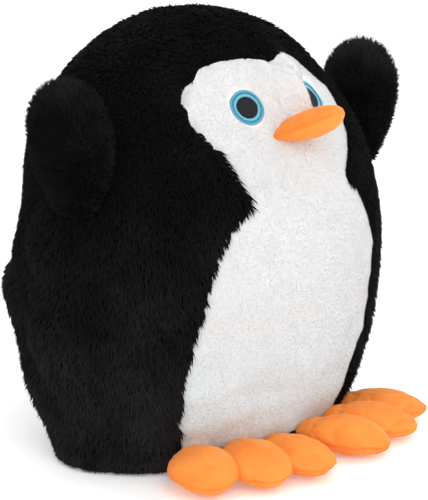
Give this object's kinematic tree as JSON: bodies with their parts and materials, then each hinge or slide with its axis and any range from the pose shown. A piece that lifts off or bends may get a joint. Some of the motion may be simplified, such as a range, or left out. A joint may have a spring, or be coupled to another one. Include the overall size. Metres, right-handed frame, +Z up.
{
  "type": "plush penguin",
  "caption": "Round stuffed penguin with black fur, white face and belly, raised flippers, and orange velour beak and three-toed feet.",
  "frame": {"origin": "on the floor under the middle of the flat bottom the toy rests on", "axes": "+Z up, -Y the way the penguin looks, +X towards its own left flipper"},
  "size_m": [0.4012, 0.3292, 0.378],
  "materials": {
    "black_fur": "long soft pile, matte with a faint grey sheen",
    "white_plush": "short soft pile, matte",
    "orange_velour": "very short velour pile, soft sheen",
    "ring_thread": "satin embroidery thread",
    "iris_thread": "satin embroidery thread",
    "pupil_thread": "satin embroidery thread",
    "stuffing": "loose polyester fibre"
  },
  "bodies": {
    "body": {"torso_filling": "stuffing", "side_panel_left": "black_fur", "side_panel_right": "black_fur", "back_panel_left": "black_fur", "back_panel_right": "black_fur", "base_panel": "black_fur", "face_panel_left": "white_plush", "face_panel_right": "white_plush", "belly_panel": "white_plush", "eye_ring_left": "ring_thread", "eye_ring_right": "ring_thread", "iris_left": "iris_thread", "iris_right": "iris_thread", "pupil_left": "pupil_thread", "pupil_right": "pupil_thread", "beak_upper": "orange_velour", "beak_lower": "orange_velour", "beak_filling": "stuffing"},
    "flipper_left": {"flipper_outer_left": "black_fur", "flipper_inner_left": "black_fur", "flipper_filling_left": "stuffing"},
    "flipper_right": {"flipper_outer_right": "black_fur", "flipper_inner_right": "black_fur", "flipper_filling_right": "stuffing"},
    "foot_left": {"foot_upper_left": "orange_velour", "foot_sole_left": "orange_velour", "foot_filling_left": "stuffing"},
    "foot_right": {"foot_upper_right": "orange_velour", "foot_sole_right": "orange_velour", "foot_filling_right": "stuffing"}
  },
  "joints": [
    {"name": "flipper_left_seam", "type": "hinge", "parent": "body", "child": "flipper_left", "pos_m": [0.1796, -0.03, 0.231], "axis": [0.1392, 0.9903, 0], "range_deg": [0, 130]},
    {"name": "flipper_right_seam", "type": "hinge", "parent": "body", "child": "flipper_right", "pos_m": [-0.1796, -0.03, 0.231], "axis": [-0.1392, 0.9903, 0], "range_deg": [-130, 0]},
    {"name": "foot_left_seam", "type": "hinge", "parent": "body", "child": "foot_left", "pos_m": [0.06381, -0.10194, 0.015], "axis": [-0.9494, -0.3142, 0], "range_deg": [-40, 25]},
    {"name": "foot_right_seam", "type": "hinge", "parent": "body", "child": "foot_right", "pos_m": [-0.06381, -0.10194, 0.015], "axis": [-0.9494, 0.3142, 0], "range_deg": [-40, 25]}
  ]
}
